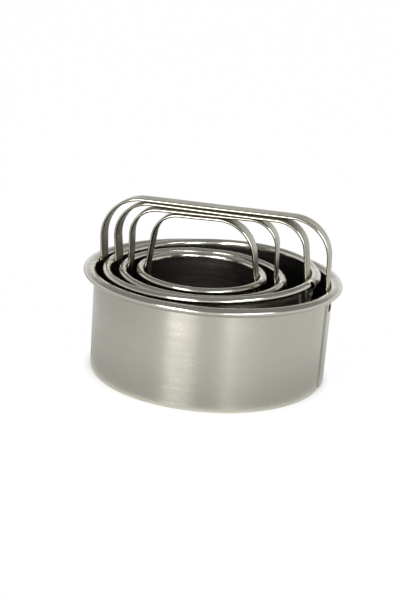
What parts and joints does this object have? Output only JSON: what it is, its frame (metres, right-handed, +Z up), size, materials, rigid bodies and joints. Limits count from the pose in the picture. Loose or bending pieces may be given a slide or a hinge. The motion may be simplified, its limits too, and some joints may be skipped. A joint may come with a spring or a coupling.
{
  "type": "biscuit cutter set",
  "caption": "Nest of round biscuit cutters: stainless rings with rolled rims and flat strap handles, each lifting off the one inside it.",
  "frame": {"origin": "centre of the largest ring's cutting edge, on the surface that the nest stands on", "axes": "+Z up along the largest ring's axis, +X along the largest handle towards the lap seam"},
  "size_m": [0.083, 0.083, 0.0546],
  "materials": {
    "ring_steel": "satin outside, polished rim",
    "handle_steel": "brushed along the strap, bright rounded edges"
  },
  "bodies": {
    "largest_cutter": {"largest_ring": "ring_steel", "largest_handle": "handle_steel"},
    "second_cutter": {"second_ring": "ring_steel", "second_handle": "handle_steel"},
    "third_cutter": {"third_ring": "ring_steel", "third_handle": "handle_steel"},
    "smallest_cutter": {"smallest_ring": "ring_steel", "smallest_handle": "handle_steel"}
  },
  "joints": [
    {"name": "third_lift", "type": "slide", "parent": "smallest_cutter", "child": "third_cutter", "axis": [0, 0, 1], "range_m": [0, 0.06]},
    {"name": "second_lift", "type": "slide", "parent": "third_cutter", "child": "second_cutter", "axis": [0, 0, 1], "range_m": [0, 0.06]},
    {"name": "largest_lift", "type": "slide", "parent": "second_cutter", "child": "largest_cutter", "axis": [0, 0, 1], "range_m": [0, 0.06]}
  ]
}
